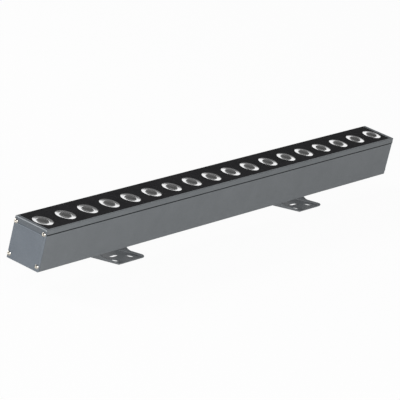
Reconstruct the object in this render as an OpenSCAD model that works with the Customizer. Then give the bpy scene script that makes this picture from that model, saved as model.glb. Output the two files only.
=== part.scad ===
// Linear wall washer: an extruded lamp body with a row of domed lenses in a black cover plate,
// clamped by its bottom channel to two tilting sheet-metal brackets.
// The origin lies on the mounting surface, midway between the two brackets' centre slots.
// X runs along the lamp, the front is towards -Y and Z points up.

/* [Lamp body] */
// Length over the two end caps
body_length = 1000; // [800:10:1400]
// Width of the extruded housing
body_width = 62; // [60:1:76]
// Height of the extruded housing
body_height = 69; // [67:1:90]
// Wall beside the cover plate, seen from above as the lip round it
lip_wall = 3; // [2.75:0.25:4.25]
// Side wall of the board bay and the driver chamber
side_wall = 2.6; // [2:0.2:3.4]
// Floor beside the bracket channel
floor_wall = 2.6; // [2:0.2:3.6]
// Web that carries the light boards
web_wall = 3; // [2:0.5:4]
// Rounding of the long outer edges
edge_r = 1; // [0.5:0.25:1.5]
// Height of the band above the shadow groove
band_h = 8.4; // [7:0.2:10]
// Height of the shadow groove
groove_h = 1.5; // [1:0.25:2]
// Depth of the shadow groove
groove_d = 1; // [0.5:0.1:1.2]

/* [Bracket channel] */
// Width of the channel's mouth in the underside
channel_mouth = 6.6; // [6.4:0.1:7.4]
// Width of the channel above its mouth
channel_w = 10.6; // [10.4:0.1:12]
// Height of the channel above its lips
channel_h = 4.8; // [4.4:0.1:6]
// Thickness of the channel's lips
channel_lip = 2.2; // [1.8:0.1:3]
// Wall round the channel
channel_wall = 2.2; // [1.8:0.1:3]

/* [Optics] */
// Number of lenses
lens_count = 18; // [6:1:19]
// Distance of the lens row in front of the lamp's centre line
row_front = 1; // [0:0.25:2]
// Diameter of the lens where it fills its window
lens_d = 34; // [30:0.5:36]
// Diameter of the raised dome
dome_d = 19.5; // [14:0.5:24]
// Height of the dome above the cover plate
dome_rise = 2.5; // [1:0.25:4]
// Depth of the dished ring round the dome
dish_depth = 0.8; // [0.4:0.1:1.2]
// Distance from the cover plate's face down to the light boards
optic_depth = 18.2; // [17:0.2:20]
// Thickness of the lens rim
lens_rim = 3.6; // [3.4:0.1:5]
// Radius of the lens at its foot
lens_foot_r = 6.2; // [5.5:0.1:7]
// Wall of the white lens holder
holder_wall = 1.3; // [1:0.1:1.6]
// Thickness of the cover plate
plate_t = 2.2; // [1.5:0.1:3]
// Depth of the plate's face below the lip
plate_sink = 0.2; // [0:0.1:0.6]
// Thickness of the gasket under the plate
plate_gasket_t = 0.6; // [0.4:0.1:1]
// Thickness of the light boards
board_t = 1.6; // [1:0.1:2]
// Width of the light boards
board_w = 44; // [40:1:46]

/* [End caps] */
// Thickness of the end cap's plate
cap_plate = 3; // [2.5:0.25:4]
// Reach of the end cap over the top, from its outer face to the cover plate
cap_reach = 8; // [7:0.5:10]
// Chamfer round the end cap's outer face
cap_chamfer = 1.1; // [0.4:0.1:1.4]
// Thickness of the end gasket
end_gasket_t = 0.6; // [0.4:0.1:1]
// Distance of the cap screws from the side faces
screw_side = 3.75; // [3.75:0.05:4.5]
// Distance of the cap screws from the top and the underside
screw_edge = 8; // [7.5:0.25:9]
// Thread of the cap screws
cap_screw_d = 4; // [3:0.5:4]
// Head of the cap screws
cap_head_d = 7.2; // [6.5:0.1:7.4]

/* [Cable gland] */
// Height of the gland's axis above the underside
gland_w = 28; // [26:0.5:32]
// Thread of the gland
gland_d = 16; // [14:0.5:18]
// Width across the flats of the gland's body and lock nut
gland_flats = 22; // [20:0.5:24]
// Bore for the cable
gland_bore = 8; // [6:0.5:9]

/* [Brackets] */
// Distance between the two brackets
bracket_spacing = 518; // [300:2:700]
// Width of each bracket over its flanges
bracket_w = 69.4; // [64:0.2:90]
// Depth of the base plate
bracket_depth = 74; // [72:1:90]
// Distance of the fixing line behind the front edge
slot_line = 35; // [30:0.5:40]
// Sheet thickness
sheet = 1.5; // [1.25:0.25:2.5]
// Outer radius of the bends
bend_r = 3; // [2.75:0.25:4]
// Height of the low flange at its front end
flange_front_h = 4.2; // [3.6:0.1:5]
// Height of the low flange at the foot of the ear
flange_h = 5.2; // [5:0.1:6]
// Radius of the hollow sweep between flange and ear
sweep_r = 15; // [12:0.5:18]
// Rounding of the low flanges' ends
flange_end_r = 3; // [1.5:0.25:3.5]
// Radius of the ear round the pivot
ear_r = 8; // [7:0.25:9]
// Distance of the pivot behind the front edge
pivot_back = 48; // [46:0.5:49]
// Length of the centre slot
centre_slot_l = 19; // [14:0.5:24]
// Width of the centre slot
centre_slot_w = 8; // [6.5:0.25:9]
// Length of the front slots
front_slot_l = 13; // [10:0.5:18]
// Width of the front slots
front_slot_w = 8.5; // [6:0.25:9]
// Distance of the front slots behind the front edge
front_slot_back = 17.5; // [14:0.5:18]
// Distance of the front slots from the bracket's middle
front_slot_x = 20; // [17:0.5:22]

/* [Saddles and pivots] */
// Lean of the lamp towards the front as photographed
rest_lean = 10.3; // [-60:0.1:28]
// Distance of the pivot behind the lamp's centre line
pivot_u = 16.2; // [14:0.1:18]
// Distance of the pivot below the underside
pivot_drop = 14.2; // [13.5:0.1:18]
// Reach of the saddle in front of the lamp's centre line
saddle_front = 14; // [10:0.5:22]
// Distance of the channel bolts from the saddle's middle
channel_bolt_x = 17; // [12:0.5:17]
// Thread of the pivot and channel bolts
bolt_d = 6; // [5:0.5:6]
// Width across the flats of their heads and nuts
bolt_flats = 10; // [9:0.25:10]
// Height of their heads
bolt_head = 4; // [3:0.1:4.2]
// Height of their nuts
nut_h = 5; // [4:0.25:5.5]
// Thickness of their washers
washer_t = 1.6; // [1:0.1:2]
// Diameter of their washers
washer_d = 12; // [11:0.25:12.5]

/* [Driver] */
// Length of the driver board
driver_l = 260; // [200:5:320]
// Height of the driver board above the underside
driver_w = 16; // [14:0.5:18]
// Thickness of the driver board
driver_board_t = 1.6; // [1.2:0.1:2]
// Distance of the driver's outer end from the lamp's end
driver_end = 60; // [50:5:120]

/* [Clearances] */
// Gap round pieces that slide into their seats
seat_gap = 0.3; // [0.2:0.05:0.4]
// Radial gap of the pivot bolts in the ears
pivot_gap = 0.08; // [0.05:0.01:0.1]
// Radial gap of a screw in its hole
screw_gap = 0.1; // [0.05:0.05:0.3]
// Gap between faces that slide past each other
slide_gap = 0.2; // [0.1:0.05:0.3]

/* [Hidden] */
$fn = 64;
FIXED_NODES = [
    "housing", "lens_plate", "plate_gasket", "lens_seals", "lens_holders", "led_emitters",
    "led_board_left", "led_board_right", "board_screws", "end_cap_left", "end_cap_right",
    "end_gasket_left", "end_gasket_right", "end_screws_left", "end_screws_right",
    "gland_body", "gland_locknut", "gland_seal", "gland_nut", "driver_board",
    "driver_transformer", "driver_capacitors", "driver_terminals", "saddle_left",
    "saddle_right", "pivot_bolts", "pivot_washers", "pivot_nuts", "channel_bolts",
    "channel_washers", "channel_nuts", "bracket_left", "bracket_right"
];
function lens_name(i) = str("lens_", i < 10 ? "0" : "", i);

// Overshoot of every cut past the face it opens
past = 1;
both = [-1, 1];

// Heights above the underside, in the lamp's own frame
port_r = cap_screw_d / 2 + 1.3;
plate_top = body_height - plate_sink;
plate_bottom = plate_top - plate_t;
ledge_top = plate_bottom - plate_gasket_t;
ledge_bottom = body_height - screw_edge - port_r;
board_top = plate_top - optic_depth;
web_top = board_top - board_t;
web_bottom = web_top - web_wall;
channel_top = channel_lip + channel_h;
groove_top = body_height - band_h;
saddle_top = -slide_gap;

// Places across and along the lamp
half_w = body_width / 2;
half_l = body_length / 2;
port_u = half_w - screw_side;
ledge_u = port_u - port_r;
housing_l = body_length - 2 * (cap_plate + end_gasket_t);
plate_l = body_length - 2 * (cap_reach + seat_gap);
plate_w = body_width - 2 * (lip_wall + seat_gap);
pitch = body_length / lens_count;
function lens_x(i) = (i - (lens_count + 1) / 2) * pitch;

lens_r = lens_d / 2;
dome_r = dome_d / 2;
holder_r = lens_r + 2;
rim_z = optic_depth - lens_rim;

bolt_r = bolt_d / 2;
bolt_tail = 1.5;
pivot_y = pivot_back - slot_line;
pivot_z = flange_h + sweep_r;
saddle_w = bracket_w - 2 * (sheet + slide_gap);
function bracket_x(side) = (side == "left" ? -1 : 1) * bracket_spacing / 2;

// Frames

// The lamp's own frame: its underside at zero height, leaning about the pivot line
module lamp_frame() {
    translate([0, pivot_y, pivot_z])
        rotate([rest_lean, 0, 0])
            translate([0, -pivot_u, pivot_drop])
                children();
}

// The outer face of an end cap, with X pointing out of the lamp
module at_end(side) {
    lamp_frame()
        if (side == "left")
            mirror([1, 0, 0])
                translate([half_l, 0, 0])
                    children();
        else
            translate([half_l, 0, 0])
                children();
}

// A lens's foot on the light board
module at_lens(i) {
    lamp_frame()
        translate([lens_x(i), -row_front, board_top])
            children();
}

// The outer face of an ear, with Z pointing into the bracket along the pivot line
module at_ear(side, end) {
    translate([bracket_x(side) + end * bracket_w / 2, pivot_y, pivot_z])
        rotate([0, -90 * end, 0])
            children();
}

module at_ears() {
    for (side = ["left", "right"], end = both)
        at_ear(side, end)
            children();
}

// The seat of a channel bolt's head, with Z pointing down through the channel's mouth
module at_channel_bolts() {
    for (side = ["left", "right"], end = both)
        lamp_frame()
            translate([bracket_x(side) + end * channel_bolt_x, 0, channel_lip + slide_gap])
                rotate([180, 0, 0])
                    children();
}

// Extrudes a section drawn across the lamp evenly along X
module along_x(length) {
    rotate([90, 0, 90])
        linear_extrude(length, center = true)
            children();
}

// Helpers

// Rectangle with round corners, centred across and standing on the axis
module rounded_rect(w, h, r) {
    translate([-w / 2 + r, 0])
        square([w - 2 * r, h]);
    translate([-w / 2, r])
        square([w, h - 2 * r]);
    for (u = [-w / 2 + r, w / 2 - r], v = [r, h - r])
        translate([u, v])
            circle(r);
}

// Rectangle centred across, from one height to another
module bar(w, low, high) {
    translate([-w / 2, low])
        square([w, high - low]);
}

// Part of a sphere standing on a circle
module dome(r, h) {
    ball_r = (r * r + h * h) / (2 * h);
    intersection() {
        translate([0, 0, h - ball_r])
            sphere(ball_r);
        cylinder(r = r, h = h + past);
    }
}

module ring(outer, inner, h) {
    difference() {
        cylinder(r = outer, h = h);
        translate([0, 0, -past])
            cylinder(r = inner, h = h + 2 * past);
    }
}

module hex_prism(flats, h) {
    cylinder(d = flats / cos(30), h = h, $fn = 6);
}

// Bolt with its head below zero and its shank above
module hex_bolt(length) {
    translate([0, 0, -bolt_head])
        hex_prism(bolt_flats, bolt_head);
    translate([0, 0, -bolt_head / 2])
        cylinder(r = bolt_r, h = length + bolt_head / 2);
}

module hex_nut() {
    difference() {
        hex_prism(bolt_flats, nut_h);
        translate([0, 0, -past])
            cylinder(r = bolt_r + screw_gap / 2, h = nut_h + 2 * past);
    }
}

// Slot with round ends along X, through the sheet
module slot(length, w) {
    translate([0, 0, -past]) {
        for (end = both)
            translate([end * (length - w) / 2, 0, 0])
                cylinder(d = w, h = sheet + 2 * past);
        translate([-(length - w) / 2, -w / 2, 0])
            cube([length - w, w, sheet + 2 * past]);
    }
}

// Point where a line from p touches a circle, on the side that turns anticlockwise
function tangent_point(p, centre, r) =
    let (
        d = p - centre,
        a = atan2(d[1], d[0]) + acos(r / norm(d))
    )
    centre + r * [cos(a), sin(a)];

// Housing and end caps

// Room for the optics: board bay, gap between the ledges, recess of the cover plate
// and, up to the back face or past it, the lap of the plate over the back wall
module optic_room(gap, top, lap_past) {
    bar(body_width - 2 * (side_wall + gap), web_top + gap, ledge_bottom - gap);
    bar(2 * (ledge_u - gap), web_top + gap, top);
    bar(body_width - 2 * (lip_wall + gap), ledge_top + gap, top);
    translate([half_w - lip_wall - past, plate_bottom + gap])
        square([lip_wall + past + lap_past, top - plate_bottom - gap]);
}

module shell_section(inset) {
    difference() {
        translate([0, inset])
            rounded_rect(body_width - 2 * inset, body_height - 2 * inset, edge_r);
        optic_room(0, body_height + past, past);
        bar(body_width - 2 * side_wall, floor_wall, web_bottom);
    }
    for (side = both)
        translate([side * port_u, screw_edge])
            circle(port_r);
}

module at_screws() {
    for (u = [-port_u, port_u], w = [screw_edge, body_height - screw_edge])
        translate([u, w])
            children();
}

rail_t = 1.5;
rail_reach = 2;

// Rib along a side wall of the driver chamber
module driver_rail(side, low) {
    inner = half_w - side_wall - rail_reach;
    translate([side > 0 ? inner : -half_w + side_wall / 2, low])
        square([rail_reach + side_wall / 2, rail_t]);
}

module housing() {
    rail_gap = driver_board_t / 2 + slide_gap;
    color("#6f757b")
        difference() {
            lamp_frame()
                along_x(housing_l)
                    difference() {
                        union() {
                            shell_section(0);
                            bar(channel_w + 2 * channel_wall, floor_wall / 2, channel_top + channel_wall);
                            for (side = both, low = [driver_w - rail_gap - rail_t, driver_w + rail_gap])
                                driver_rail(side, low);
                        }
                        bar(channel_mouth, -past, channel_lip + past);
                        bar(channel_w, channel_lip, channel_top);
                        at_screws()
                            circle(cap_screw_d / 2 + screw_gap / 2);
                        for (side = both)
                            translate([side * half_w, groove_top - groove_h / 2])
                                square([2 * groove_d, groove_h], center = true);
                    }
            for (side = both)
                at_board_screws(side)
                    translate([0, 0, -board_t - web_wall - past])
                        cylinder(d = board_screw_d + screw_gap, h = board_t + web_wall + 2 * past);
        }
}

// Chamfered block between the planes of an end cap's plate, drawn on one side view
module chamfered_side(low, high) {
    polygon([
        [-cap_plate, low],
        [-cap_chamfer, low],
        [0, low + cap_chamfer],
        [0, high - cap_chamfer],
        [-cap_chamfer, high],
        [-cap_plate, high]
    ]);
}

module end_cap(side) {
    face_groove = 0.4;
    color("#79818a")
        at_end(side)
            difference() {
                union() {
                    intersection() {
                        translate([-cap_plate / 2, 0, 0])
                            along_x(cap_plate)
                                rounded_rect(body_width, body_height, edge_r);
                        rotate([90, 0, 0])
                            linear_extrude(body_width + 2 * past, center = true)
                                chamfered_side(0, body_height);
                        translate([0, 0, -past])
                            linear_extrude(body_height + 2 * past)
                                chamfered_side(-half_w, half_w);
                    }
                    translate([-(cap_plate / 2 + cap_reach) / 2, 0, 0])
                        along_x(cap_reach - cap_plate / 2)
                            optic_room(seat_gap, plate_top, 0);
                }
                translate([-cap_plate / 2, 0, 0])
                    along_x(cap_plate + 2 * past)
                        at_screws()
                            circle(cap_screw_d / 2 + screw_gap);
                translate([-face_groove, -half_w - past, groove_top - groove_h])
                    cube([face_groove + past, body_width + 2 * past, groove_h / 2]);
                if (side == "right")
                    translate([-cap_plate - past, 0, gland_w])
                        rotate([0, 90, 0])
                            cylinder(d = gland_d + 2 * screw_gap, h = cap_plate + 2 * past);
            }
}

module end_gasket(side) {
    color("#2b2b2b")
        at_end(side)
            translate([-cap_plate - end_gasket_t / 2, 0, 0])
                along_x(end_gasket_t)
                    difference() {
                        shell_section(0.4);
                        at_screws()
                            circle(cap_screw_d / 2 + screw_gap);
                    }
}

module cap_screw() {
    head_edge = 0.4;
    head_h = 2.2;
    shank_l = 16;
    socket_flats = 2.5;
    difference() {
        union() {
            cylinder(d = cap_head_d, h = head_edge);
            translate([0, 0, head_edge])
                dome(cap_head_d / 2, head_h - head_edge);
        }
        translate([0, 0, head_h / 2])
            hex_prism(socket_flats, head_h);
    }
    translate([0, 0, -shank_l])
        cylinder(d = cap_screw_d, h = shank_l + head_edge / 2);
}

module end_screws(side) {
    color("#c9c9c6")
        at_end(side)
            rotate([90, 0, 90])
                at_screws()
                    cap_screw();
}

// Cover plate, seals and optics

// Lies in its recess at the front and laps over the back wall
module lens_plate() {
    color("#262626")
        lamp_frame()
            translate([0, 0, plate_bottom])
                difference() {
                    translate([-plate_l / 2, -plate_w / 2, 0])
                        cube([plate_l, plate_w / 2 + half_w, plate_t]);
                    for (i = [1:lens_count])
                        translate([lens_x(i), -row_front, -past])
                            cylinder(r = lens_r + seat_gap, h = plate_t + 2 * past);
                }
}

// One strip on each ledge
module plate_gasket() {
    color("#2b2b2b")
        lamp_frame()
            for (side = both)
                translate([-plate_l / 2, side > 0 ? ledge_u : -plate_w / 2, ledge_top])
                    cube([plate_l, plate_w / 2 - ledge_u, plate_gasket_t]);
}

module lens_seals() {
    color("#b8b8b4")
        for (i = [1:lens_count])
            at_lens(i)
                translate([0, 0, rim_z])
                    ring(holder_r, lens_r + seat_gap / 2, lens_rim - plate_t);
}

// The flank's radius, from the foot at 0 to the rim at 1
cone_top_r = lens_r - 1.6;
foot_z = 1.2;
function flank_r(t) = lens_foot_r + (cone_top_r - lens_foot_r) * pow(t, 0.85);
function flank_z(t) = foot_z + (rim_z - foot_z) * t;
FLANK_STEP = 0.2;

module lens(i) {
    cavity_r = 3.6;
    cavity_h = 5.4;
    rim_w = 0.8;
    dish_z = optic_depth - dish_depth;
    color("#8a8a8a")
        at_lens(i) {
            rotate_extrude()
                polygon(concat(
                    [[0, cavity_h + foot_z], [cavity_r, cavity_h], [cavity_r, foot_z]],
                    [for (t = [0:FLANK_STEP:1.001]) [flank_r(t), flank_z(t)]],
                    [
                        [lens_r, rim_z],
                        [lens_r, optic_depth],
                        [lens_r - rim_w, optic_depth],
                        [dome_r, dish_z],
                        [0, dish_z]
                    ]
                ));
            translate([0, 0, dish_z])
                dome(dome_r, dish_depth + dome_rise);
        }
}

module lens_holders() {
    foot_r = lens_foot_r + 4;
    collar_h = 2;
    color("#f2f2ee")
        for (i = [1:lens_count])
            at_lens(i)
                rotate_extrude()
                    polygon(concat(
                        [[lens_foot_r + seat_gap, 0]],
                        [for (t = [0:FLANK_STEP:1.001]) [flank_r(t) + seat_gap, flank_z(t)]],
                        [
                            [holder_r, rim_z],
                            [holder_r, rim_z - collar_h]
                        ],
                        [for (t = [0.8:-FLANK_STEP:0.199]) [flank_r(t) + seat_gap + holder_wall, flank_z(t)]],
                        [[foot_r, foot_z], [foot_r, 0]]
                    ));
}

// Light boards

emitter_w = 3.5;
emitter_base = 0.8;
board_split = 1;

module led_emitters() {
    color("#f0e6a8")
        for (i = [1:lens_count])
            at_lens(i) {
                translate([-emitter_w / 2, -emitter_w / 2, 0])
                    cube([emitter_w, emitter_w, emitter_base]);
                translate([0, 0, emitter_base])
                    dome(1.4, 1.3);
            }
}

board_end = half_l - cap_reach - 1;
board_screw_d = 3;
board_screw_u = board_w / 2 - 4;
board_screw_x = [board_split / 2 + 8, pitch * floor(lens_count / 4), board_end - 6];

module at_board_screws(side) {
    for (x = board_screw_x, u = [-board_screw_u, board_screw_u])
        lamp_frame()
            translate([side * x, u, board_top])
                children();
}

module led_board(side) {
    low_x = side < 0 ? -board_end : board_split / 2;
    color("#e9ebe8")
        difference() {
            lamp_frame()
                translate([low_x, -board_w / 2, web_top])
                    cube([board_end - board_split / 2, board_w, board_t]);
            at_board_screws(side)
                translate([0, 0, -board_t - past])
                    cylinder(d = board_screw_d + 2 * screw_gap, h = board_t + 2 * past);
        }
}

module board_screws() {
    head_h = 1.8;
    color("#c9c9c6")
        for (side = both)
            at_board_screws(side) {
                difference() {
                    dome(2.8, head_h);
                    translate([0, 0, head_h / 2])
                        hex_prism(2, head_h);
                }
                translate([0, 0, -board_t - web_wall])
                    cylinder(d = board_screw_d, h = board_t + web_wall + head_h / 4);
            }
}

// Cable gland in the right end cap

gland_flange = 5;
gland_nose = 13;
seal_start = gland_flange + 1;
seal_r = gland_bore / 2 + 2;

// The gland's axis from the cap's outer face, with Z pointing out of the lamp
module at_gland() {
    at_end("right")
        translate([0, 0, gland_w])
            rotate([0, 90, 0])
                children();
}

module gland_body() {
    inner_reach = cap_plate + 7;
    color("#2a2c2e")
        at_gland()
            difference() {
                union() {
                    hex_prism(gland_flats, gland_flange);
                    translate([0, 0, -inner_reach])
                        cylinder(d = gland_d, h = inner_reach + past);
                    cylinder(d = gland_d - 1, h = gland_nose);
                }
                translate([0, 0, -inner_reach - past])
                    cylinder(d = gland_bore + 1, h = inner_reach + gland_nose + 2 * past);
                translate([0, 0, seal_start])
                    cylinder(r = seal_r, h = gland_nose);
            }
}

module gland_locknut() {
    nut_t = 4;
    color("#2a2c2e")
        at_gland()
            translate([0, 0, -cap_plate - nut_t])
                difference() {
                    hex_prism(gland_flats, nut_t);
                    translate([0, 0, -past])
                        cylinder(r = gland_d / 2 + screw_gap / 2, h = nut_t + 2 * past);
                }
}

module gland_seal() {
    color("#1c1c1c")
        at_gland()
            translate([0, 0, seal_start])
                ring(seal_r, gland_bore / 2, gland_nose - seal_start + 0.5);
}

module gland_nut() {
    skirt = gland_nose + 0.5 - gland_flange;
    crown = 4;
    color("#2a2c2e")
        at_gland()
            translate([0, 0, gland_flange])
                difference() {
                    union() {
                        hex_prism(gland_flats - 2, skirt);
                        translate([0, 0, skirt])
                            intersection() {
                                dome(gland_flats / 2 - 1, gland_flats / 2 - 1);
                                cylinder(r = gland_flats, h = crown);
                            }
                    }
                    translate([0, 0, -past])
                        cylinder(r = (gland_d - 1) / 2 + screw_gap / 2, h = skirt + past);
                    cylinder(r = gland_bore / 2 + 0.5, h = skirt + crown + past);
                }
}

// Driver, which slides in between the rails

driver_x = half_l - driver_end - driver_l / 2;
driver_face = driver_w + driver_board_t / 2;

module on_driver(x, u) {
    lamp_frame()
        translate([driver_x + x, u, driver_face])
            children();
}

module driver_board() {
    board = body_width - 2 * (side_wall + slide_gap);
    color("#2f6b45")
        lamp_frame()
            translate([driver_x - driver_l / 2, -board / 2, driver_w - driver_board_t / 2])
                cube([driver_l, board, driver_board_t]);
}

module driver_transformer() {
    core = [30, 27, 22];
    winding_r = 9;
    color("#4a4038")
        on_driver(-20, 0)
            difference() {
                translate([-core[0] / 2, -core[1] / 2, 0])
                    cube(core);
                for (side = both)
                    translate([0, side * core[1] / 2, -past])
                        cylinder(r = winding_r / 2, h = core[2] + 2 * past);
            }
}

module driver_capacitors() {
    color("#23304a")
        for (x = [28, 44, 60], u = [-9, 9])
            on_driver(x, u)
                cylinder(r = 6.3, h = 22);
}

module driver_terminals() {
    block = [10, 30, 12];
    color("#3f7d52")
        on_driver(driver_l / 2 - 10, 0)
            difference() {
                translate([-block[0] / 2, -block[1] / 2, 0])
                    cube(block);
                for (u = [-10:5:10])
                    translate([0, u, block[2] / 2])
                        rotate([0, 90, 0])
                            cylinder(d = 3, h = block[0]);
            }
}

// Saddles under the channel

module saddle(side) {
    reach = pivot_drop + ear_r + past;
    color("#66696c")
        difference() {
            intersection() {
                lamp_frame()
                    translate([bracket_x(side), 0, 0])
                        rotate([90, 0, 0])
                            linear_extrude(body_width + 2 * saddle_front, center = true)
                                difference() {
                                    translate([0, saddle_top - reach])
                                        rounded_rect(saddle_w, reach, bend_r);
                                    translate([0, saddle_top - sheet - 2 * reach])
                                        rounded_rect(saddle_w - 2 * sheet, 2 * reach, bend_r - sheet);
                                }
                lamp_frame()
                    translate([bracket_x(side), 0, 0])
                        along_x(saddle_w + 2 * past)
                            saddle_side();
            }
            at_ears()
                cylinder(r = bolt_r + screw_gap, h = 3 * sheet);
            at_channel_bolts()
                cylinder(r = bolt_r + screw_gap, h = 3 * sheet + channel_lip);
        }
}

// Side view of a saddle's arm, which narrows from the web to the pivot
module saddle_side() {
    pivot = [pivot_u, -pivot_drop];
    front = [-saddle_front, saddle_top - sheet];
    translate(pivot)
        circle(ear_r);
    polygon([
        [-saddle_front, saddle_top + past],
        front,
        tangent_point(front, pivot, ear_r),
        pivot,
        [pivot_u + ear_r, -pivot_drop],
        [pivot_u + ear_r, saddle_top + past]
    ]);
}

// Stack of sheets on the pivot line, inwards from the ear's outer face
arm_inner = 2 * sheet + slide_gap;

module pivot_bolts() {
    color("#c9c9c6")
        at_ears()
            translate([0, 0, -slide_gap])
                hex_bolt(slide_gap + arm_inner + washer_t + nut_h + bolt_tail);
}

module pivot_washers() {
    color("#c9c9c6")
        at_ears()
            translate([0, 0, arm_inner])
                ring(washer_d / 2, bolt_r + screw_gap, washer_t);
}

module pivot_nuts() {
    color("#c9c9c6")
        at_ears()
            translate([0, 0, arm_inner + washer_t])
                hex_nut();
}

// Stack on a channel bolt, down from the seat of its head
web_low = channel_lip + 2 * slide_gap + sheet;

module channel_bolts() {
    color("#c9c9c6")
        at_channel_bolts()
            hex_bolt(web_low + washer_t + nut_h + bolt_tail);
}

module channel_washers() {
    color("#c9c9c6")
        at_channel_bolts()
            translate([0, 0, web_low])
                ring(washer_d / 2, bolt_r + screw_gap, washer_t);
}

module channel_nuts() {
    color("#c9c9c6")
        at_channel_bolts()
            translate([0, 0, web_low + washer_t])
                hex_nut();
}

// Brackets on the mounting surface

// Side view of a flange: low ends that sweep up into the ear round the pivot
module flange_side() {
    sweep_s = ear_r + sweep_r;
    translate([pivot_back, pivot_z])
        circle(ear_r);
    difference() {
        polygon([
            [0, 0],
            [bracket_depth, 0],
            [bracket_depth, flange_front_h],
            [pivot_back + sweep_s, flange_h],
            [pivot_back + sweep_s, pivot_z],
            [pivot_back - sweep_s, pivot_z],
            [pivot_back - sweep_s, flange_h],
            [0, flange_front_h]
        ]);
        for (end = both)
            translate([pivot_back + end * sweep_s, pivot_z])
                circle(sweep_r);
    }
}

// What rounds off the end of a flange, from its end at zero
module flange_corner() {
    difference() {
        translate([-past, flange_front_h - flange_end_r])
            square([flange_end_r + past, flange_end_r + past]);
        translate([flange_end_r, flange_front_h - flange_end_r])
            circle(flange_end_r);
    }
}

module bracket(side) {
    full_h = pivot_z + ear_r + past;
    color("#66696c")
        translate([bracket_x(side), -slot_line, 0])
            difference() {
                intersection() {
                    rotate([90, 0, 0])
                        linear_extrude(2 * bracket_depth, center = true)
                            difference() {
                                rounded_rect(bracket_w, full_h + bend_r, bend_r);
                                translate([0, sheet])
                                    rounded_rect(bracket_w - 2 * sheet, 2 * full_h, bend_r - sheet);
                            }
                    along_x(bracket_w + 2 * past)
                        difference() {
                            flange_side();
                            flange_corner();
                            translate([bracket_depth, 0])
                                mirror([1, 0])
                                    flange_corner();
                        }
                }
                translate([0, slot_line, 0])
                    slot(centre_slot_l, centre_slot_w);
                for (end = both)
                    translate([end * front_slot_x, front_slot_back, 0])
                        rotate([0, 0, 90])
                            slot(front_slot_l, front_slot_w);
                translate([0, pivot_back, pivot_z])
                    rotate([0, 90, 0])
                        cylinder(r = bolt_r + pivot_gap, h = bracket_w + 2 * past, center = true);
            }
}

housing();
lens_plate();
plate_gasket();
lens_seals();
lens_holders();
led_emitters();
led_board(-1);  // led_board_left
led_board(1);  // led_board_right
board_screws();
end_cap("left");  // end_cap_left
end_cap("right");  // end_cap_right
end_gasket("left");  // end_gasket_left
end_gasket("right");  // end_gasket_right
end_screws("left");  // end_screws_left
end_screws("right");  // end_screws_right
gland_body();
gland_locknut();
gland_seal();
gland_nut();
driver_board();
driver_transformer();
driver_capacitors();
driver_terminals();
saddle("left");  // saddle_left
saddle("right");  // saddle_right
pivot_bolts();
pivot_washers();
pivot_nuts();
channel_bolts();
channel_washers();
channel_nuts();
bracket("left");  // bracket_left
bracket("right");  // bracket_right
for (i = [1:lens_count])
    lens(i);
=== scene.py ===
import math

import bmesh
import bpy
from mathutils import Matrix, Vector


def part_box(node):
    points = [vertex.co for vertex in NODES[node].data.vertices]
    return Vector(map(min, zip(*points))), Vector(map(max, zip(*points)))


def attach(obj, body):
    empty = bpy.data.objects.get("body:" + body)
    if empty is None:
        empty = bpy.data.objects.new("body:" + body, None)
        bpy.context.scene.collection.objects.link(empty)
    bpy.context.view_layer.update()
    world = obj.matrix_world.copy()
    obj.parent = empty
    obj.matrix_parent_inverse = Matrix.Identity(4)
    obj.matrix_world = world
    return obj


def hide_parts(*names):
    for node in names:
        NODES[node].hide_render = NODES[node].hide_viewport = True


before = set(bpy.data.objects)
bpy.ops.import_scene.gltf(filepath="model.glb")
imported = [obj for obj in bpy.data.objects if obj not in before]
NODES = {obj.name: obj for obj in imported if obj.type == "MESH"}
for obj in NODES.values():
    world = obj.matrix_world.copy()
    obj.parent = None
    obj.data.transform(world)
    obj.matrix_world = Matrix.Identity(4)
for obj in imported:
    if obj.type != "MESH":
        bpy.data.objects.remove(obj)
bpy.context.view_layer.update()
MM = 0.001

# The lamp's lean and its pivot line, which lies behind the lamp's middle and below its underside
LEAN = math.radians(10.3)
PIVOT = Vector((0, 13, 20.2)) * MM
PIVOT_ACROSS = 16.2 * MM
PIVOT_DROP = 14.2 * MM

# The row of optics, in millimetres
LENS_COUNT = 18
LENS_PITCH = 1000 / LENS_COUNT
ROW_FRONT = 1.0  # in front of the lamp's middle
BOARD_TOP = 50.6  # above the lamp's underside

# One optic, in millimetres: heights from the light board, radii from the optic's axis
COVER_FACE = 18.2
RIM_TOP = COVER_FACE - 0.4
RIM_BOTTOM = 14.6
LENS_R = 17.0
DULL_EDGE_R = 16.5
RIM_WIDTH = 0.8
RING_R = LENS_R - RIM_WIDTH
RING_TOP = RIM_TOP - 0.15
RING_FLOOR = COVER_FACE - 0.93
DOME_R = 9.8
DOME_HEIGHT = 2.53
DOME_TOP = RING_FLOOR + DOME_HEIGHT
DOME_SQUARENESS = 2.1  # 2 is an ellipse, and more is squarer
FLANK_TOP_R = 15.4
FLANK_CURVE = 0.85  # 1 is a straight cone, and less bulges outwards
FOOT_R = 6.2
FOOT_Z = 1.2
CAVITY_R = 3.6
CAVITY_Z = 5.4
CAVITY_TIP = 6.6
MOULDED_EDGE = 0.12
SIDES = 96

# Material slots of an optic
METALLISED, FROSTED, CLEAR = range(3)

# Bands of the painted metal, in millimetres above the lamp's underside
LIP_BAND = (58.2, 58.9)
GROOVE_BAND = (58.85, 60.85)
FRAME_BAND = (59.8, 80)
CHAMFER_BAND = (67, 80)
CHAMFER_TURN = (0.5, 0.9)  # how far the chamfer's faces turn towards the lamp's ends


# Colours and shader nodes

def linear(hex_colour):
    """An sRGB hex colour as the linear colour that a socket takes."""
    channels = [int(hex_colour[i:i + 2], 16) / 255 for i in (1, 3, 5)]
    return [c / 12.92 if c <= 0.04045 else ((c + 0.055) / 1.055) ** 2.4 for c in channels] + [1.0]


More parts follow.
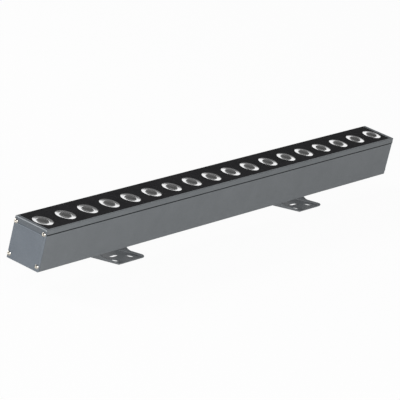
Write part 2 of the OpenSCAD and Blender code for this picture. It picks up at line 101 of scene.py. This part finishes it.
def node(tree, kind, settings=None, inputs=None):
    """Adds a shader node, sets its properties and sockets, and links the sockets that are given an output."""
    made = tree.nodes.new(kind)
    for name, value in (settings or {}).items():
        setattr(made, name, value)
    for name, value in (inputs or {}).items():
        socket = made.inputs[name]
        if isinstance(value, bpy.types.NodeSocket):
            tree.links.new(value, socket)
        else:
            socket.default_value = value
    return made


def new_material(name):
    """A material with an empty node tree."""
    material = bpy.data.materials.new(name)
    material.use_nodes = True
    material.node_tree.nodes.clear()
    return material, material.node_tree


def finish_material(tree, surface):
    """Hands the finished surface to the material's output."""
    node(tree, "ShaderNodeOutputMaterial", inputs={"Surface": surface})


def dress(names, material):
    """Gives nodes of the frame one material."""
    for name in names:
        slots = NODES[name].data.materials
        slots.clear()
        slots.append(material)


# Surface patterns that several finishes share. The real grain of powder, moulds and tools is under
# 0.1 mm, too fine to show, so every grain and line under 1 mm below is drawn several times coarser.

def lamp_height(tree, place):
    """Height in millimetres above the leaning lamp's underside, on Object coordinates."""
    from_pivot = node(tree, "ShaderNodeVectorMath", {"operation": "SUBTRACT"}, {0: place, 1: PIVOT})
    upwards = (0, -math.sin(LEAN), math.cos(LEAN))
    reach = node(tree, "ShaderNodeVectorMath", {"operation": "DOT_PRODUCT"},
                 {0: from_pivot.outputs[0], 1: upwards})
    return node(tree, "ShaderNodeMath", {"operation": "MULTIPLY_ADD"},
                {0: reach.outputs["Value"], 1: 1 / MM, 2: -PIVOT_DROP / MM}).outputs[0]


def between(tree, value, low, high, soft):
    """1 where a value lies between two limits, with soft ends."""
    rise = node(tree, "ShaderNodeMapRange", {"interpolation_type": "SMOOTHSTEP"},
                {"Value": value, "From Min": low - soft, "From Max": low + soft})
    fall = node(tree, "ShaderNodeMapRange", {"interpolation_type": "SMOOTHSTEP"},
                {"Value": value, "From Min": high + soft, "From Max": high - soft})
    return node(tree, "ShaderNodeMath", {"operation": "MULTIPLY"},
                {0: rise.outputs[0], 1: fall.outputs[0]}).outputs[0]


def blended(tree, share, first, second):
    """One colour passing into another by a share."""
    return node(tree, "ShaderNodeMix", {"data_type": "RGBA"},
                {"Factor": share, "A": first, "B": second}).outputs["Result"]


def edge_wear(tree, place, width_mm, patch_mm, strength):
    """The share of wear on edges, in patches: an edge is where a rounded copy of the shape turns away
    from the true face."""
    true = node(tree, "ShaderNodeNewGeometry").outputs["Normal"]
    rounded = node(tree, "ShaderNodeBevel", {"samples": 6}, {"Radius": width_mm * MM})
    turn = node(tree, "ShaderNodeVectorMath", {"operation": "DOT_PRODUCT"}, {0: true, 1: rounded.outputs[0]})
    edge = node(tree, "ShaderNodeMapRange", inputs={
        "Value": turn.outputs["Value"], "From Min": 0.99, "From Max": 0.8, "To Min": 0.0, "To Max": strength})
    patch = node(tree, "ShaderNodeTexNoise", inputs={
        "Vector": place, "Scale": 1 / (patch_mm * MM), "Detail": 3.0})
    gate = node(tree, "ShaderNodeMapRange", inputs={
        "Value": patch.outputs["Fac"], "From Min": 0.3, "From Max": 0.65})
    return node(tree, "ShaderNodeMath", {"operation": "MULTIPLY"},
                {0: edge.outputs[0], 1: gate.outputs[0]}).outputs[0]


def uneven(tree, place, size_mm, low, high):
    """A value that drifts between two limits in soft patches of about one size."""
    drift = node(tree, "ShaderNodeTexNoise", inputs={
        "Vector": place, "Scale": 1 / (size_mm * MM), "Detail": 3.0})
    return node(tree, "ShaderNodeMapRange", inputs={
        "Value": drift.outputs["Fac"], "From Min": 0.3, "From Max": 0.7,
        "To Min": low, "To Max": high}).outputs[0]


def grain(tree, place, size_mm, depth_mm, strength, under=None):
    """Fine relief of one size, laid over another normal where one is given."""
    relief = node(tree, "ShaderNodeTexNoise", inputs={
        "Vector": place, "Scale": 1 / (size_mm * MM), "Detail": 2.0})
    inputs = {"Height": relief.outputs["Fac"], "Strength": strength, "Distance": depth_mm * MM}
    if under is not None:
        inputs["Normal"] = under
    return node(tree, "ShaderNodeBump", inputs=inputs).outputs["Normal"]


def drawn_lines(tree, place, line_mm, run_mm):
    """Height of fine lines that run along the lamp, as an extrusion die or a brush leaves them."""
    stretched = node(tree, "ShaderNodeMapping", inputs={
        "Vector": place, "Scale": (1 / (run_mm * MM), 1 / (line_mm * MM), 1 / (line_mm * MM))})
    return node(tree, "ShaderNodeTexNoise", inputs={
        "Vector": stretched.outputs[0], "Scale": 1.0, "Detail": 3.0}).outputs["Fac"]


# Materials of the painted metal

def powder_coat(name, colour, shade, worn, groove=None, painted_frame_shade=None, rub=0.2, lines=0.0, roughness=0.5):
    """Baked polyester powder on aluminium or steel: a soft satin with orange peel, faint clouds and
    a fine speckle in the colour, and edges where the coat is thin and rubbed lighter."""
    material, tree = new_material(name)
    place = node(tree, "ShaderNodeTexCoord").outputs["Object"]
    coat = blended(tree, uneven(tree, place, 38, 0, 1), linear(colour), linear(shade))
    # Speckle of the powder, coarser than the real grain so that it shows
    coat = blended(tree, uneven(tree, place, 0.9, 0, 0.22), coat, linear(worn))
    height = lamp_height(tree, place)
    if painted_frame_shade:
        # Painted shade darkens the frame above the groove, and a painted highlight brightens the groove's
        # lower lip
        coat = blended(tree, between(tree, height, *FRAME_BAND, soft=0.2), coat, linear(painted_frame_shade))
        coat = blended(tree, between(tree, height, *LIP_BAND, soft=0.15), coat, linear("#8b929a"))
    if groove:
        # Painted shade: the narrow groove is darkened
        coat = blended(tree, between(tree, height, *GROOVE_BAND, soft=0.12), coat, linear(groove))
    coat = blended(tree, edge_wear(tree, place, 0.8, 5, rub), coat, linear(worn))
    if painted_frame_shade:
        # Painted highlight: the chamfer round the frame's outer top edge is painted bright where its faces
        # turn towards the lamp's ends
        normal = node(tree, "ShaderNodeNewGeometry").outputs["Normal"]
        endwards = node(tree, "ShaderNodeSeparateXYZ", inputs={"Vector": normal}).outputs["X"]
        turn = node(tree, "ShaderNodeMath", {"operation": "ABSOLUTE"}, {0: endwards})
        painted_ridge_highlight = node(tree, "ShaderNodeMath", {"operation": "MULTIPLY"}, {
            0: between(tree, turn.outputs[0], *CHAMFER_TURN, soft=0.05),
            1: between(tree, height, *CHAMFER_BAND, soft=0.3)})
        coat = blended(tree, painted_ridge_highlight.outputs[0], coat, linear("#a6abaf"))
    # Orange peel of the real size, then powder grain drawn coarser so that it shows
    peel = grain(tree, place, 2.2, 0.08, 0.35)
    powder = grain(tree, place, 0.6, 0.03, 0.35, peel)
    if lines:
        # Lines of the extrusion die under the coat, also coarser
        powder = node(tree, "ShaderNodeBump", inputs={
            "Height": drawn_lines(tree, place, 1.6, 180), "Strength": lines, "Distance": 0.05 * MM,
            "Normal": powder}).outputs["Normal"]
    surface = node(tree, "ShaderNodeBsdfPrincipled", inputs={
        "Base Color": coat, "Roughness": uneven(tree, place, 9, roughness - 0.03, roughness + 0.03),
        "Specular IOR Level": 0.3, "Normal": powder})
    finish_material(tree, surface.outputs["BSDF"])
    return material


# The housing's groove takes painted shade
housing_coat = powder_coat("powder_coat_on_extrusion", "#6b6f72", "#717578", "#8d9296",
                           groove="#23282a", lines=0.15)
# The caps take painted shade on the frame band and painted highlights on the groove's lower lip and the outer
# chamfer
cap_coat = powder_coat("powder_coat_on_casting", "#6b727a", "#717880", "#9aa0a6",
                       groove="#636a71", painted_frame_shade="#676c71", rub=0.08)
bracket_coat = powder_coat("powder_coat_on_sheet", "#6b6e71", "#707376", "#a3a6a9", rub=0.45, roughness=0.55)


def anodised_cover():
    """Black anodised aluminium sheet, blasted matt: a dead black that keeps a faint drawn grain and
    a little grey dust towards its edges."""
    material, tree = new_material("black_anodised_sheet")
    place = node(tree, "ShaderNodeTexCoord").outputs["Object"]
    black = blended(tree, uneven(tree, place, 22, 0, 1), linear("#202022"), linear("#262628"))
    black = blended(tree, edge_wear(tree, place, 0.4, 3, 0.2), black, linear("#404043"))
    # Blasting and the sheet's drawn lines, both coarser than real so that they show
    blast = grain(tree, place, 0.35, 0.02, 0.3)
    drawn = node(tree, "ShaderNodeBump", inputs={
        "Height": drawn_lines(tree, place, 0.6, 60), "Strength": 0.2, "Distance": 0.02 * MM, "Normal": blast})
    surface = node(tree, "ShaderNodeBsdfPrincipled", inputs={
        "Base Color": black, "Roughness": uneven(tree, place, 12, 0.78, 0.9), "Specular IOR Level": 0.08,
        "Normal": drawn.outputs["Normal"]})
    finish_material(tree, surface.outputs["BSDF"])
    return material


# Materials of the optics

def metallised_ring():
    """Vacuum-metallised polycarbonate: the bright dished ring, near a mirror, with faint turned
    circles from the mould and a soft haze."""
    material, tree = new_material("metallised_polycarbonate_ring")
    place = node(tree, "ShaderNodeTexCoord").outputs["Object"]
    radius = node(tree, "ShaderNodeAttribute", {"attribute_name": "radius_mm"}).outputs["Fac"]
    # Circles 0.5 mm apart are coarser than a real mould's, so that they show
    circle_pitch = 0.5
    phase = node(tree, "ShaderNodeMath", {"operation": "MULTIPLY"},
                 {0: radius, 1: 2 * math.pi / circle_pitch})
    circles = node(tree, "ShaderNodeMath", {"operation": "SINE"}, {0: phase.outputs[0]})
    bump = node(tree, "ShaderNodeBump", inputs={
        "Height": circles.outputs[0], "Strength": 0.06, "Distance": 0.01 * MM})
    tone = blended(tree, uneven(tree, place, 6, 0, 1), linear("#fbfbfb"), linear("#f3f4f5"))
    surface = node(tree, "ShaderNodeBsdfPrincipled", inputs={
        "Base Color": tone, "Metallic": 0.9, "Roughness": uneven(tree, place, 4, 0.07, 0.13),
        "Normal": bump.outputs["Normal"]})
    finish_material(tree, surface.outputs["BSDF"])
    return material


def frosted_dome():
    """Frosted polycarbonate over the dark lens body: an even grey, with painted light that pales it towards
    the dome's foot and the rim's own paler grey, a soft sheen and a fine spark-eroded grain."""
    material, tree = new_material("frosted_polycarbonate_dome")
    place = node(tree, "ShaderNodeTexCoord").outputs["Object"]
    radius = node(tree, "ShaderNodeAttribute", {"attribute_name": "radius_mm"}).outputs["Fac"]
    grey = blended(tree, uneven(tree, place, 3, 0, 1), linear("#525252"), linear("#585858"))
    # Painted light: the grey pales towards the dome's foot, and the same mask gives the rim its own paler
    # grey
    painted_foot_light = node(tree, "ShaderNodeMapRange", {"interpolation_type": "SMOOTHSTEP"},
                        {"Value": radius, "From Min": DOME_R - 1.3, "From Max": DOME_R - 0.1})
    grey = blended(tree, painted_foot_light.outputs[0], grey, linear("#717171"))
    surface = node(tree, "ShaderNodeBsdfPrincipled", inputs={
        "Base Color": grey, "Roughness": uneven(tree, place, 2, 0.42, 0.55), "Specular IOR Level": 0.25,
        "IOR": 1.58, "Normal": grain(tree, place, 0.35, 0.02, 0.4)})
    finish_material(tree, surface.outputs["BSDF"])
    return material


def clear_flank():
    """Clear polished polycarbonate: the cone that gathers the light, with faint flow marks."""
    material, tree = new_material("clear_polycarbonate_flank")
    place = node(tree, "ShaderNodeTexCoord").outputs["Object"]
    tone = blended(tree, uneven(tree, place, 5, 0, 1), linear("#f4f5f4"), linear("#e9ecea"))
    surface = node(tree, "ShaderNodeBsdfPrincipled", inputs={
        "Base Color": tone, "Roughness": uneven(tree, place, 3, 0.03, 0.08), "IOR": 1.58,
        "Transmission Weight": 0.9, "Normal": grain(tree, place, 2.5, 0.02, 0.2)})
    finish_material(tree, surface.outputs["BSDF"])
    return material


# Materials of the fittings and of the inside

def steel_finish(name, colour, shade, roughness, line_mm=0.25):
    """Turned or pressed stainless steel: bright, with fine tool lines and duller patches from handling."""
    material, tree = new_material(name)
    place = node(tree, "ShaderNodeTexCoord").outputs["Object"]
    tone = blended(tree, uneven(tree, place, 2.5, 0, 1), linear(colour), linear(shade))
    lines = node(tree, "ShaderNodeBump", inputs={
        "Height": drawn_lines(tree, place, line_mm, 6), "Strength": 0.35, "Distance": 0.02 * MM})
    surface = node(tree, "ShaderNodeBsdfPrincipled", inputs={
        "Base Color": tone, "Metallic": 1.0,
        "Roughness": uneven(tree, place, 1.5, roughness - 0.08, roughness + 0.08),
        "Normal": lines.outputs["Normal"]})
    finish_material(tree, surface.outputs["BSDF"])
    return material


def moulded(name, colour, shade, roughness, grain_mm, specular=0.4, worn=None, colouring=None, coat=0.0):
    """Moulded plastic or rubber: its own colour in faint clouds, the mould's fine grain, and paler
    rubbed edges where these are given."""
    material, tree = new_material(name)
    place = node(tree, "ShaderNodeTexCoord").outputs["Object"]
    tone = blended(tree, uneven(tree, place, 8, 0, 1), linear(colour), linear(shade))
    if colouring:
        tone = colouring(tree, place, tone)
    if worn:
        tone = blended(tree, edge_wear(tree, place, 0.4, 2, 0.6), tone, linear(worn))
    surface = node(tree, "ShaderNodeBsdfPrincipled", inputs={
        "Base Color": tone, "Roughness": uneven(tree, place, 4, roughness - 0.05, roughness + 0.05),
        "Specular IOR Level": specular, "Coat Weight": coat, "Coat Roughness": 0.08,
        "Normal": grain(tree, place, grain_mm, 0.03, 0.35)})
    finish_material(tree, surface.outputs["BSDF"])
    return material


def copper_tracks(colour, width, pitch_mm):
    """Colouring for a circuit board: tracks that show through the solder mask as paler bands."""
    def colouring(tree, place, tone):
        bands = node(tree, "ShaderNodeTexBrick", {"offset": 0.37, "squash": 1.0}, {
            "Vector": place, "Color1": (1, 1, 1, 1), "Color2": (0.6, 0.6, 0.6, 1), "Mortar": (0, 0, 0, 1),
            "Scale": 1 / (pitch_mm * MM), "Mortar Size": width, "Brick Width": 2.6, "Row Height": 0.5})
        return blended(tree, bands.outputs["Fac"], tone, linear(colour))
    return colouring


def banded(name, low, high, colour, soft_mm=0.1):
    """Colouring for a piece whose middle, along the lamp, has another colour than its ends."""
    lowest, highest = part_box(name)
    start = lowest.x + (highest.x - lowest.x) * low
    end = lowest.x + (highest.x - lowest.x) * high

    def colouring(tree, place, tone):
        along = node(tree, "ShaderNodeSeparateXYZ", inputs={"Vector": place}).outputs["X"]
        return blended(tree, between(tree, along, start, end, soft_mm * MM), tone, linear(colour))
    return colouring


cover_black = anodised_cover()
ring_bright = metallised_ring()
dome_frosted = frosted_dome()
flank_clear = clear_flank()
screw_steel = steel_finish("turned_stainless_screws", "#c2beb6", "#a6a29b", 0.3)
bolt_steel = steel_finish("pressed_stainless_fixings", "#b3b1ab", "#9b9994", 0.36, 0.4)
gland_nylon = moulded("moulded_black_polyamide", "#1e1f21", "#242527", 0.45, 0.45, worn="#3a3c3e")
seal_black = moulded("moulded_black_silicone", "#1c1c1c", "#232323", 0.72, 0.6, specular=0.25)
seal_clear = moulded("translucent_silicone", "#b9b9b3", "#c6c6c0", 0.5, 0.5)
holder_white = moulded("moulded_white_polycarbonate", "#ecece8", "#e4e4df", 0.38, 0.4, worn="#f8f8f6")
board_white = moulded("white_solder_mask", "#e9ebe9", "#e2e5e2", 0.35, 0.5, coat=0.3,
                      colouring=copper_tracks("#dfe3dc", 0.12, 12))
emitter_yellow = moulded("phosphor_under_clear_silicone", "#e6cf5d", "#dfc24a", 0.3, 0.2, coat=1.0)
driver_green = moulded("green_solder_mask", "#2c6a43", "#27603c", 0.35, 0.5, coat=0.4,
                       colouring=copper_tracks("#3f8257", 0.14, 8))
winding = moulded("ferrite_and_winding_tape", "#3a3837", "#302f2e", 0.6, 0.5,
                  colouring=banded("driver_transformer", 0.2, 0.8, "#b98f2f"))
sleeve = moulded("sleeved_capacitor", "#232f48", "#1e2940", 0.32, 0.8, coat=0.4)
terminal_green = moulded("moulded_green_polyamide", "#3f7d52", "#386f49", 0.5, 0.5, worn="#5c9a6e")

dress(["housing"], housing_coat)
dress(["end_cap_left", "end_cap_right"], cap_coat)
dress(["bracket_left", "bracket_right", "saddle_left", "saddle_right"], bracket_coat)
dress(["lens_plate"], cover_black)
dress(["end_screws_left", "end_screws_right", "board_screws"], screw_steel)
dress(["pivot_bolts", "pivot_nuts", "pivot_washers"], bolt_steel)
dress(["channel_bolts", "channel_nuts", "channel_washers"], bolt_steel)
dress(["gland_body", "gland_locknut", "gland_nut"], gland_nylon)
dress(["plate_gasket", "end_gasket_left", "end_gasket_right", "gland_seal"], seal_black)
dress(["lens_seals"], seal_clear)
dress(["lens_holders"], holder_white)
dress(["led_board_left", "led_board_right"], board_white)
dress(["led_emitters"], emitter_yellow)
dress(["driver_board"], driver_green)
dress(["driver_transformer"], winding)
dress(["driver_capacitors"], sleeve)
dress(["driver_terminals"], terminal_green)


# The moulded optics

def pick_faces(piece, wanted):
    """Selects the faces whose centre, in millimetres, and normal pass a test, and no others."""
    work = bmesh.from_edit_mesh(piece.data)
    for face in work.faces:
        face.select_set(wanted(face.calc_center_median() / MM, face.normal))
    work.select_flush_mode()
    bmesh.update_edit_mesh(piece.data)


def turn_down(profile):
    """Insets the selected round face ring by ring: each pair is a radius and a height, in millimetres."""
    for (radius, height), (next_radius, next_height) in zip(profile, profile[1:]):
        bpy.ops.mesh.inset(thickness=(radius - next_radius) * MM, depth=0, use_even_offset=True)
        bpy.ops.transform.translate(value=(0, 0, (next_height - height) * MM))


def dome_profile(steps):
    """Rings of the low dome, steep at its foot and nearly flat on top, from its foot inwards."""
    power = 2 / DOME_SQUARENESS
    angles = [math.pi / 2 * step / steps for step in range(steps)]
    return [(DOME_R * math.cos(a) ** power, RING_FLOOR + DOME_HEIGHT * math.sin(a) ** power)
            for a in angles]


def flank_profile(steps):
    """Rings of the curved flank, from the rim down to the foot."""
    shares = [1 - step / steps for step in range(steps + 1)]
    return [(FOOT_R + (FLANK_TOP_R - FOOT_R) * t ** FLANK_CURVE, FOOT_Z + (RIM_BOTTOM - FOOT_Z) * t)
            for t in shares]


def model_optic():
    """One optic about the Z axis, from its foot up: rim, dished ring, low dome, flank and cavity."""
    bpy.ops.object.select_all(action="DESELECT")
    rim = RIM_TOP - RIM_BOTTOM
    bpy.ops.mesh.primitive_cylinder_add(vertices=SIDES, radius=LENS_R * MM, depth=rim * MM,
                                        location=(0, 0, (RIM_BOTTOM + rim / 2) * MM))
    optic = bpy.context.object
    optic.name = "optic"
    bpy.ops.object.transform_apply(location=True)
    bpy.ops.object.mode_set(mode="EDIT")
    bpy.ops.mesh.select_mode(type="FACE")

    # From the rim's flat over the dished ring to the dome's top
    pick_faces(optic, lambda centre, normal: normal.z > 0.9)
    rim_flat = [(LENS_R, RIM_TOP), (DULL_EDGE_R, RIM_TOP), (RING_R, RING_TOP)]
    ring = [(RING_R + (DOME_R - RING_R) * share, RING_TOP + (RING_FLOOR - RING_TOP) * share)
            for share in (0.25, 0.5, 0.75)]
    dome = dome_profile(9)
    turn_down(rim_flat + ring + dome)
    bpy.ops.transform.translate(value=(0, 0, (DOME_TOP - dome[-1][1]) * MM))
    bpy.ops.mesh.merge(type="COLLAPSE")

    # From the rim's underside down the flank to the foot and up into the cavity over the diode
    pick_faces(optic, lambda centre, normal: normal.z < -0.9)
    cavity = [(CAVITY_R, FOOT_Z), (CAVITY_R - 0.05, CAVITY_Z),
              (CAVITY_R / 2, (CAVITY_Z + CAVITY_TIP) / 2)]
    turn_down([(LENS_R, RIM_BOTTOM)] + flank_profile(8) + cavity)
    bpy.ops.transform.translate(value=(0, 0, (CAVITY_TIP - CAVITY_Z) / 2 * MM))
    bpy.ops.mesh.merge(type="COLLAPSE")
    bpy.ops.object.mode_set(mode="OBJECT")

    soften = optic.modifiers.new("moulded_edges", "BEVEL")
    soften.width = MOULDED_EDGE * MM
    soften.segments = 2
    soften.limit_method = "ANGLE"
    soften.angle_limit = math.radians(50)
    bpy.ops.object.modifier_apply(modifier=soften.name)
    bpy.ops.object.shade_smooth_by_angle(angle=math.radians(32))
    return optic


def dress_optic(mesh):
    """Metallises the ring, frosts the dome and the rim's edge, leaves the flank clear, and keeps each
    point's radius for the finishes."""
    for material in (ring_bright, dome_frosted, flank_clear):
        mesh.materials.append(material)
    for face in mesh.polygons:
        centre = face.center / MM
        reach = math.hypot(centre.x, centre.y)
        if centre.z < RIM_BOTTOM + 0.01:
            face.material_index = CLEAR
        elif reach < DOME_R or reach > RING_R:
            face.material_index = FROSTED
        else:
            face.material_index = METALLISED
    radii = mesh.attributes.new("radius_mm", "FLOAT", "POINT")
    for vertex, value in zip(mesh.vertices, radii.data):
        value.value = math.hypot(vertex.co.x, vertex.co.y) / MM


def seat_optics(pattern):
    """Copies the optic into each of the lamp's windows, its place in its own mesh."""
    lean = Matrix.Translation(PIVOT) @ Matrix.Rotation(LEAN, 4, "X")
    for number in range(1, LENS_COUNT + 1):
        optic = pattern.copy()
        optic.data = pattern.data.copy()
        optic.name = optic.data.name = f"optic_{number:02d}"
        bpy.context.scene.collection.objects.link(optic)
        along = (number - (LENS_COUNT + 1) / 2) * LENS_PITCH * MM
        across = -ROW_FRONT * MM - PIVOT_ACROSS
        seat = Matrix.Translation((along, across, BOARD_TOP * MM + PIVOT_DROP))
        optic.data.transform(lean @ seat)
        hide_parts(f"lens_{number:02d}")
        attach(optic, "lamp")
    bpy.data.objects.remove(pattern)


optic_pattern = model_optic()
dress_optic(optic_pattern.data)
seat_optics(optic_pattern)


# Floor, world, lamps and camera

WHITE = (1, 1, 1, 1)
FLOOR_SIZE = 60
FLOOR_GLOW = 0.95  # the white's share in what the camera and reflections see of the floor
BACKDROP = 0.97  # the white that the camera sees of the world
WALL_TOP = (0.42, 0.49)  # the heights between which the tent's mirrored walls end, as sines
PANEL_EDGE = (0.85, 0.97)  # and those where its overhead panel begins
SLOPE_LIGHT = 0.1
PANEL_LIGHT = 0.9
LOW_LIGHT, HIGH_LIGHT = 0.45, 0.36  # the even light, from near the floor to overhead
LIGHT_SPREAD = (0.2, 0.9)
SOFTBOX_SIZE = (1.2, 0.7)
SOFTBOX_TARGET = (0, 0, 0.03)


def add_floor():
    """A wide pale floor that keeps the object's shadow and passes into the white backdrop."""
    bpy.ops.object.select_all(action="DESELECT")
    bpy.ops.mesh.primitive_plane_add(size=FLOOR_SIZE, location=(0, 0, 0))
    floor = bpy.context.object
    floor.name = "floor"
    material, tree = new_material("pale_studio_floor")
    paper = node(tree, "ShaderNodeBsdfDiffuse", inputs={"Color": linear("#f4f4f4")})
    glow = node(tree, "ShaderNodeEmission", inputs={"Color": WHITE, "Strength": 1.0})
    path = node(tree, "ShaderNodeLightPath")
    shown = node(tree, "ShaderNodeMath", {"operation": "MAXIMUM"},
                 {0: path.outputs["Is Camera Ray"], 1: path.outputs["Is Glossy Ray"]})
    share = node(tree, "ShaderNodeMath", {"operation": "MULTIPLY"}, {0: shown.outputs[0], 1: FLOOR_GLOW})
    mix = node(tree, "ShaderNodeMixShader", inputs={
        0: share.outputs[0], 1: paper.outputs[0], 2: glow.outputs[0]})
    finish_material(tree, mix.outputs[0])
    floor.data.materials.append(material)


def by_height(tree, height, limits, low, high):
    """A value that passes from low to high between two heights of the tent."""
    return node(tree, "ShaderNodeMapRange", {"interpolation_type": "SMOOTHSTEP"}, {
        "Value": height, "From Min": limits[0], "From Max": limits[1],
        "To Min": low, "To Max": high}).outputs[0]


def set_world():
    """A pale tent: white where the camera and clear pieces look through it, even light on the
    object, and in reflections white walls, a dimmer slope and a white panel overhead."""
    world = bpy.data.worlds.new("studio")
    world.use_nodes = True
    tree = world.node_tree
    tree.nodes.clear()
    path = node(tree, "ShaderNodeLightPath")
    way = node(tree, "ShaderNodeTexCoord").outputs["Generated"]
    height = node(tree, "ShaderNodeSeparateXYZ", inputs={"Vector": way}).outputs["Z"]
    walls = by_height(tree, height, WALL_TOP, 1.0, SLOPE_LIGHT)
    panel = by_height(tree, height, PANEL_EDGE, 0.0, PANEL_LIGHT)
    mirror = node(tree, "ShaderNodeMath", {"operation": "MAXIMUM"}, {0: walls, 1: panel})
    shown = node(tree, "ShaderNodeBackground", inputs={"Color": WHITE, "Strength": BACKDROP})
    mirrored = node(tree, "ShaderNodeBackground", inputs={"Color": WHITE, "Strength": mirror.outputs[0]})
    light = node(tree, "ShaderNodeBackground", inputs={
        "Color": WHITE, "Strength": by_height(tree, height, LIGHT_SPREAD, LOW_LIGHT, HIGH_LIGHT)})
    seen = node(tree, "ShaderNodeMath", {"operation": "MAXIMUM"},
                {0: path.outputs["Is Camera Ray"], 1: path.outputs["Is Transmission Ray"]})
    lit = node(tree, "ShaderNodeMixShader", inputs={
        0: path.outputs["Is Glossy Ray"], 1: light.outputs[0], 2: mirrored.outputs[0]})
    mix = node(tree, "ShaderNodeMixShader", inputs={
        0: seen.outputs[0], 1: lit.outputs[0], 2: shown.outputs[0]})
    node(tree, "ShaderNodeOutputWorld", inputs={"Surface": mix.outputs[0]})
    bpy.context.scene.world = world


def aim(thing, target):
    """Turns a lamp to face a point."""
    way = Vector(target) - thing.location
    thing.rotation_euler = way.to_track_quat("-Z", "Y").to_euler()


def add_softbox(name, place, power):
    """A rectangular lamp that faces the object from a place, with a power in watts."""
    lamp = bpy.data.lights.new(name, "AREA")
    lamp.shape = "RECTANGLE"
    lamp.size, lamp.size_y = SOFTBOX_SIZE
    lamp.energy = power
    body = bpy.data.objects.new(name, lamp)
    bpy.context.scene.collection.objects.link(body)
    body.location = place
    aim(body, SOFTBOX_TARGET)


# The photograph's camera, fitted to the lamp's edges
CAMERA_PLACE = (-3.6624, -2.4459, 1.1446)
CAMERA_RIGHT = (0.5723, -0.8165, 0.0762)
CAMERA_UP = (0.1558, 0.1995, 0.9674)
CAMERA_LENS = 248.07
CAMERA_SENSOR = 36


def add_camera():
    """The camera at the photograph's place, its axes made square to each other."""
    camera = bpy.data.cameras.new("photo_camera")
    camera.sensor_width = CAMERA_SENSOR
    camera.lens = CAMERA_LENS
    camera.clip_end = 100
    body = bpy.data.objects.new("photo_camera", camera)
    bpy.context.scene.collection.objects.link(body)
    right = Vector(CAMERA_RIGHT).normalized()
    up = Vector(CAMERA_UP)
    up = (up - up.dot(right) * right).normalized()
    back = right.cross(up)
    turn = Matrix((right, up, back)).transposed()
    body.matrix_world = Matrix.Translation(CAMERA_PLACE) @ turn.to_4x4()
    bpy.context.scene.camera = body


add_floor()
set_world()
add_softbox("front_softbox", (-2.55, -1.8, 0.82), 46.5)
add_softbox("back_softbox", (-0.48, 2.73, 1.63), 42)
add_camera()
bpy.context.scene.view_settings.view_transform = "Standard"
